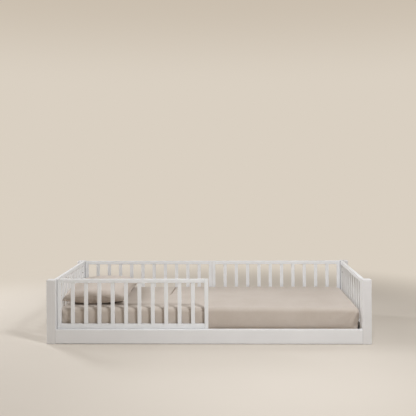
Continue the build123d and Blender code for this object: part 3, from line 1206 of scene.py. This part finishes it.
@dataclass
class FittedSheet:
    """The cotton sheet stretched over the mattress, gathered at its corners.

    Its corners are cut out of the flat cloth, so flat_area is less than the flat sides give.
    """

    corner: float = 0.032
    top_edge: float = 0.027
    bottom_edge: float = 0.02
    fine: float = 0.007
    coarse: float = 0.01
    band: float = 0.2
    tuck: float = 0.11
    cloth: float = 0.0012
    flat: Pair = (1.32, 2.52)
    flat_area: float = 3.056
    broad_waves: Unevenness = Unevenness(0.0010, 0.32, 1.0)
    small_waves: Unevenness = Unevenness(0.0006, 0.11, 2.0)
    wave_sink: float = 0.0022
    crease: Pair = (-0.291, 0.17)
    crease_slant: float = 0.057
    crease_sway: Pair = (0.003, 11.0)
    crease_run: Pair = (-0.06, 0.2)
    crease_band: float = 0.024
    groove: Pair = (0.008, 0.004)
    lip: Pair = (0.0022, 0.008)
    lip_away: float = 0.012
    fan_centre: Pair = (0.012, 0.03)
    fan_turns: Pair = (13.0, 23.0)
    fan_starts: Pair = (2.1, 4.0)
    second_fold: float = 0.6
    side_marks: Pair = (1.0, 2.3)
    rear_mark: float = 0.7
    end_mark: float = 0.5
    gather: float = 0.0035
    gather_reach: float = 0.075
    gather_run: Pair = (0.004, 0.05)
    lean: float = 0.015
    lean_run: Pair = (0.02, 0.14)
    drapes: Unevenness = Unevenness(0.0013, 0.06, 5.0)
    drape_stretch: Triple = (1.0, 1.0, 0.45)
    drape_run: Pair = (0.02, 0.1)
    slow_bulge: Unevenness = Unevenness(0.0012, 0.3, 6.0)
    wall_limits: Pair = (-0.015, 0.0028)
    hem_start: float = 0.03
    hem_lift: float = 0.0014
    hem_ripple: float = 0.0012
    ripple_turns: Pair = (230.0, 190.0)
    ripple_shift: float = 0.7
    colour: Colour = linear(199, 189, 179)
    shade: Colour = linear(184, 171, 158)

    def build(self) -> bpy.types.Object:
        """Make the sheet, rumple it and dress it.

        Returns:
            The sheet.
        """
        low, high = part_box("fitted_sheet")
        form = BlockForm(
            low,
            high,
            self.corner,
            self.top_edge,
            self.bottom_edge,
            self.fine,
            self.coarse,
            self.band,
            tuck=self.tuck,
            fold_at=abs(self.crease[0]),
            fold_band=self.crease_band,
        )
        piece = form.build("fitted_sheet_cloth")
        self.rumple(piece.data, high)
        thick = piece.modifiers.new("cloth", "SOLIDIFY")
        thick.thickness = self.cloth
        thick.offset = -1.0
        dress(piece, WovenCotton("sheet_cotton", self.colour, self.shade).build())
        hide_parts("fitted_sheet")
        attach(piece, "mattress")
        log.info("built %s", piece.name)
        return piece

    def rumple(self, mesh: bpy.types.Mesh, high: Vector) -> None:
        """Push the cloth in and out along its normals.

        Args:
            mesh: The sheet's mesh.
            high: The highest corner of its space.
        """
        points, normals = read_points(mesh), read_points(mesh, "normal")
        up = normals[:, 2]
        push = self.top_waves(points) * np.clip(up, 0, 1)
        push += self.wall_folds(points, high) * np.clip(1 - np.abs(up), 0, 1)
        push += self.hem_gathers(points, high) * np.clip(-up, 0, 1)
        write_points(mesh, points + normals * push[:, None])

    def top_waves(self, points: np.ndarray) -> np.ndarray:
        """Find the waves of the top and its one slanting crease.

        Args:
            points: One row of three coordinates for each point.

        Returns:
            How far the top rises at each point, never above its plane.
        """
        x, y = points[:, 0], points[:, 1]
        waves = self.broad_waves.at(points) + self.small_waves.at(points)
        start_x, start_y = self.crease
        sway, turns = self.crease_sway
        away = x - start_x - self.crease_slant * (y - start_y) - sway * np.sin(turns * y)
        reach = eased(y, *self.crease_run)
        depth, width = self.groove
        groove = depth * np.exp(-((away / width) ** 2)) * reach
        height, width = self.lip
        lips = height * np.exp(-(((np.abs(away) - self.lip_away) / width) ** 2)) * reach
        return np.minimum(waves - self.wave_sink + lips, 0.0) - groove

    def wall_folds(self, points: np.ndarray, high: Vector) -> np.ndarray:
        """Find the folds that fan out from the corners, and the soft drapes between them.

        Args:
            points: One row of three coordinates for each point.
            high: The highest corner of the sheet's space.

        Returns:
            How far the walls stand out at each point.
        """
        x, y, z = points.T
        from_end, from_side = high.x - np.abs(x), high.y - np.abs(y)
        along, down = np.maximum(from_end, from_side), high.z - z
        fan = np.arctan2(along + self.fan_centre[0], down + self.fan_centre[1])
        at_end = np.where(from_end <= from_side, self.end_mark, 0.0)
        side = np.where(x > 0, *self.side_marks) + np.where(y > 0, self.rear_mark, 0.0) + at_end
        first, second = (
            np.sin(turns * fan + start * side)
            for turns, start in zip(self.fan_turns, self.fan_starts)
        )
        folds = first + self.second_fold * second
        near = np.exp(-along / self.gather_reach) * eased(down, *self.gather_run)
        gathers = self.gather * folds * near - self.lean * near * eased(down, *self.lean_run)
        drapes = self.drapes.at(points * np.array(self.drape_stretch))
        soft = drapes * eased(down, *self.drape_run)
        return np.clip(gathers + soft + self.slow_bulge.at(points), *self.wall_limits)

    def hem_gathers(self, points: np.ndarray, high: Vector) -> np.ndarray:
        """Find the ripples of the tucked edge.

        Args:
            points: One row of three coordinates for each point.
            high: The highest corner of the sheet's space.

        Returns:
            How far the tucked edge lifts off the slats at each point, as a push along its normal.
        """
        x, y = points[:, 0], points[:, 1]
        inward = np.minimum(high.x - np.abs(x), high.y - np.abs(y))
        one, other = self.ripple_turns
        ripple = np.sin((x + y) * one) * np.sin((x - y) * other + self.ripple_shift)
        share = eased(inward, self.hem_start, self.tuck)
        return -share * (self.hem_lift + self.hem_ripple * ripple)


FILLING = {
    "quality": 8,
    "mass": 0.25,
    "tension_stiffness": 18,
    "compression_stiffness": 18,
    "shear_stiffness": 6,
    "bending_stiffness": 0.3,
    "air_damping": 4,
    "use_pressure": True,
}


@dataclass
class Pillow:
    """A plump pillow in a cotton case, swollen from a flat bag.

    The seam stands seam_middle above the sheet along the sides and seam_corner at the corners.
    """

    cells: tuple[int, int] = (56, 86)
    bag_share: Pair = (0.55, 0.54)
    start: float = 0.03
    frames: int = 24
    pressure: float = 2.0
    seam_middle: float = 0.064
    seam_corner: float = 0.03
    seam_power: float = 1.5
    crown_power: float = 2.0
    belly_power: float = 1.6
    rest_share: float = 0.88
    straight: float = 0.65
    welt: float = 0.0016
    welt_sides: int = 8
    fill: float = 0.6
    colour: Colour = linear(203, 192, 182)
    shade: Colour = linear(187, 174, 162)

    def build(self) -> bpy.types.Object:
        """Make the bag, swell it, set it in its place and dress it.

        Returns:
            The filled case.
        """
        low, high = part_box("pillow")
        piece, border = self.bag(high - low)
        self.swell(piece)
        self.settle(piece.data, low, high)
        smooth = piece.modifiers.new("smooth", "SUBSURF")
        smooth.levels = smooth.render_levels = 1
        cotton = WovenCotton("pillow_cotton", self.colour, self.shade).build()
        seam = self.sew(piece, border)
        for part in (piece, seam):
            dress(part, cotton)
            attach(part, "pillow")
            log.info("built %s", part.name)
        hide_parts("pillow")
        return piece

    def bag(self, size: Vector) -> tuple[bpy.types.Object, np.ndarray]:
        """Make a flat bag of two layers sewn together round their border.

        Args:
            size: The size of the finished pillow.

        Returns:
            The bag, round the origin, and the points of its border in order.
        """
        columns, rows = self.cells
        half_x, half_y = size.x * self.bag_share[0], size.y * self.bag_share[1]
        u, v = np.meshgrid(np.linspace(-1, 1, columns + 1), np.linspace(-1, 1, rows + 1))
        thick = self.start / 2 * np.sqrt(np.clip((1 - u * u) * (1 - v * v), 0, 1))
        upper = np.dstack([u * half_x, v * half_y, thick]).reshape(-1, 3)
        index = np.arange(upper.shape[0]).reshape(rows + 1, columns + 1)
        inside = np.zeros_like(index, bool)
        inside[1:-1, 1:-1] = True
        under = index.copy()
        under[inside] = upper.shape[0] + np.arange(inside.sum())
        lower = upper[inside.ravel()] * np.array([1, 1, -1])
        faces = grid_faces(index) + [face[::-1] for face in grid_faces(under)]
        return mesh_object("pillow_case", np.concatenate([upper, lower]), faces), border_of(index)

    def swell(self, piece: bpy.types.Object) -> None:
        """Fill the bag by a short run of cloth under pressure.

        Args:
            piece: The flat bag.
        """
        cloth = piece.modifiers.new("fill", "CLOTH")
        for name, value in FILLING.items():
            setattr(cloth.settings, name, value)
        cloth.settings.uniform_pressure_force = self.pressure
        cloth.settings.effector_weights.gravity = 0
        cloth.collision_settings.use_collision = False
        cloth.point_cache.frame_end = self.frames
        scene = bpy.context.scene
        for count in range(1, self.frames + 1):
            scene.frame_set(count)
        graph = bpy.context.evaluated_depsgraph_get()
        swollen = bpy.data.meshes.new_from_object(piece.evaluated_get(graph))
        piece.modifiers.clear()
        piece.data = swollen
        piece.data.shade_smooth()
        scene.frame_set(1)

    def settle(self, mesh: bpy.types.Mesh, low: Vector, high: Vector) -> None:
        """Fit the filled bag to its place, flat where it rests.

        Args:
            mesh: The filled bag's mesh, round the origin.
            low: The lowest corner of its space.
            high: The highest corner of its space.
        """
        points = read_points(mesh)
        least, most = points.min(axis=0), points.max(axis=0)
        log.info("the bag swelled to %s", np.round(most - least, 3).tolist())
        share = self.straighten(((points - (least + most) / 2) / ((most - least) / 2))[:, :2])
        centre, half = np.array((low + high) / 2), np.array((high - low) / 2)
        points[:, :2] = centre[:2] + share * half[:2]
        outer = np.abs(share[:, 0] * share[:, 1]) ** self.seam_power
        seam = self.seam_middle + (self.seam_corner - self.seam_middle) * outer
        up = np.clip(points[:, 2] / most[2], 0, 1)
        down = np.clip(points[:, 2] / (self.rest_share * least[2]), 0, 1)
        crown, belly = 1 - (1 - up) ** self.crown_power, 1 - (1 - down) ** self.belly_power
        rise = np.where(points[:, 2] > 0, (high.z - low.z - seam) * crown, -seam * belly)
        points[:, 2] = low.z + seam + rise
        write_points(mesh, points)

    def straighten(self, share: np.ndarray) -> np.ndarray:
        """Take most of the waist out of the four sides.

        Args:
            share: Where each point lies in the bag's outline, from -1 to 1 along and across.

        Returns:
            The new places.
        """
        columns, rows = self.cells
        count = (rows + 1) * (columns + 1)
        upper = share[:count].reshape(rows + 1, columns + 1, 2)
        lower = share[count:].reshape(rows - 1, columns - 1, 2)
        wide = (upper[:, -1, 0] - upper[:, 0, 0]) / 2
        long = (upper[-1, :, 1] - upper[0, :, 1]) / 2
        wider = 1 + self.straight * (1 / wide - 1)
        longer = 1 + self.straight * (1 / long - 1)
        grown = np.dstack(np.broadcast_arrays(wider[:, None], longer[None, :]))
        layers = upper * grown, lower * grown[1:-1, 1:-1]
        return np.concatenate([layer.reshape(-1, 2) for layer in layers])

    def sew(self, piece: bpy.types.Object, border: np.ndarray) -> bpy.types.Object:
        """Make a rolled seam that follows the case's border.

        Args:
            piece: The filled case in its place.
            border: The points of the border, in order round it.

        Returns:
            The seam as a tube.
        """
        line = read_points(piece.data)[border]
        line = (np.roll(line, 1, axis=0) + 2 * line + np.roll(line, -1, axis=0)) / 4
        along = np.roll(line, -1, axis=0) - np.roll(line, 1, axis=0)
        along /= np.linalg.norm(along, axis=1, keepdims=True)
        outward = np.cross(along, (0.0, 0.0, 1.0))
        outward /= np.linalg.norm(outward, axis=1, keepdims=True)
        upward = np.cross(outward, along)
        turns = np.arange(self.welt_sides) / self.welt_sides * 2 * math.pi
        rings = [
            line + self.welt * (math.cos(turn) * outward + math.sin(turn) * upward)
            for turn in turns
        ]
        points = np.stack(rings, axis=1).reshape(-1, 3)
        index = np.arange(len(points)).reshape(len(line), self.welt_sides)
        closed = np.pad(index, ((0, 1), (0, 1)), mode="wrap")
        return mesh_object("pillow_seam", points, grid_faces(closed))


@dataclass(frozen=True)
class Lamp:
    """A soft lamp: where it hangs, its sides and its power in watts."""

    name: str
    place: Triple
    sides: Pair
    power: float


@dataclass
class Studio:
    """The pale floor, the soft lights and the camera."""

    eye: Triple = (0.1598, -4.7414, 1.1559)
    yaw: float = 0.0241964
    roll: float = -0.00541
    lens: float = 56.62
    sensor: float = 36.0
    shift: Pair = (-0.01923, -0.09732)
    floor_reach: float = 40.0
    ground: Colour = linear(211, 203, 192)
    backdrop: Colour = linear(218, 208, 194)
    backdrop_shaded_top: Colour = linear(203, 191, 175)
    backdrop_rise: Pair = (0.12, 0.26)
    daylight: Colour = (0.97, 1.0, 1.05)
    room: Colour = (1.0, 0.91, 0.8)
    room_strength: float = 0.34
    aim: Triple = (0.0, -0.1, 0.2)
    lamps: tuple[Lamp, ...] = (
        Lamp("back_left_lamp", (-3.2, 1.9, 2.2), (0.8, 0.8), 56.0),
        Lamp("front_lamp", (0.85, -1.85, 2.35), (0.45, 0.45), 46.0),
        Lamp("right_lamp", (3.6, 0.4, 2.2), (1.6, 1.6), 18.0),
        Lamp("left_lamp", (-4.6, -0.3, 2.1), (1.4, 1.4), 64.0),
    )

    def build(self) -> None:
        """Set up floor, world, lights and camera."""
        self.lay_floor()
        self.light_world()
        for lamp in self.lamps:
            self.hang(lamp)
        self.place_camera()
        bpy.context.scene.view_settings.view_transform = "Standard"

    def lay_floor(self) -> None:
        """Lay a wide floor."""
        far = self.floor_reach
        corners = [(-far, -far, 0.0), (far, -far, 0.0), (far, far, 0.0), (-far, far, 0.0)]
        floor = mesh_object("studio_floor", np.array(corners), [(0, 1, 2, 3)])
        dress(floor, Ground("studio_floor", self.ground, self.backdrop).build())

    def light_world(self) -> None:
        """Light the room evenly, with the backdrop's colour behind the bed, darkened higher up as
        painted shade.
        """
        world = bpy.data.worlds.new("studio")
        bpy.context.scene.world = world
        world.use_nodes = True
        nodes = world.node_tree.nodes
        graph = NodeGraph(world.node_tree)
        soft = nodes["Background"]
        soft.inputs["Color"].default_value = opaque(self.room)
        soft.inputs["Strength"].default_value = self.room_strength
        behind = graph.place("ShaderNodeBackground")
        parts = graph.place("ShaderNodeSeparateXYZ")
        graph.feed(parts.inputs[0], graph.place("ShaderNodeTexCoord").outputs["Generated"])
        # Painted shade: the backdrop behind the bed darkens towards its upper tone as the view
        # rises.
        rise = graph.span(parts.outputs[2], *self.backdrop_rise)
        tone = graph.blend(rise, opaque(self.backdrop), opaque(self.backdrop_shaded_top))
        graph.feed(behind.inputs["Color"], tone)
        path = graph.place("ShaderNodeLightPath").outputs
        bounced = graph.math("MAXIMUM", path["Is Glossy Ray"], path["Is Transmission Ray"])
        seen = graph.math("MAXIMUM", path["Is Camera Ray"], bounced)
        mixed = graph.mix_shaders(seen, soft.outputs[0], behind.outputs[0])
        graph.feed(nodes["World Output"].inputs["Surface"], mixed)

    def hang(self, lamp: Lamp) -> None:
        """Hang one soft lamp over the floor.

        Args:
            lamp: The lamp.
        """
        light = bpy.data.lights.new(lamp.name, "AREA")
        light.shape = "RECTANGLE"
        light.size, light.size_y = lamp.sides
        light.energy = lamp.power
        light.color = self.daylight
        holder = bpy.data.objects.new(lamp.name, light)
        holder.location = lamp.place
        beam = Vector(self.aim) - Vector(lamp.place)
        holder.rotation_euler = beam.to_track_quat("-Z", "Y").to_euler()
        bpy.context.scene.collection.objects.link(holder)

    def place_camera(self) -> None:
        """Set the camera at the photograph's viewing angle."""
        data = bpy.data.cameras.new("camera")
        data.lens = self.lens
        data.sensor_width = self.sensor
        data.shift_x, data.shift_y = self.shift
        camera = bpy.data.objects.new("camera", data)
        level = Matrix.Rotation(self.yaw, 4, "Z") @ Matrix.Rotation(math.pi / 2, 4, "X")
        turn = level @ Matrix.Rotation(self.roll, 4, "Z")
        camera.matrix_world = Matrix.Translation(self.eye) @ turn
        bpy.context.scene.collection.objects.link(camera)
        bpy.context.scene.camera = camera


def main() -> None:
    """Build every sub-assembly in order."""
    logging.basicConfig(level=logging.INFO, format="%(name)s: %(message)s")
    Timberwork().paint()
    SlattedBase().dress()
    Fastenings().dress()
    MattressCore().build()
    FittedSheet().build()
    Pillow().build()
    Studio().build()


if __name__ == "__main__":
    main()
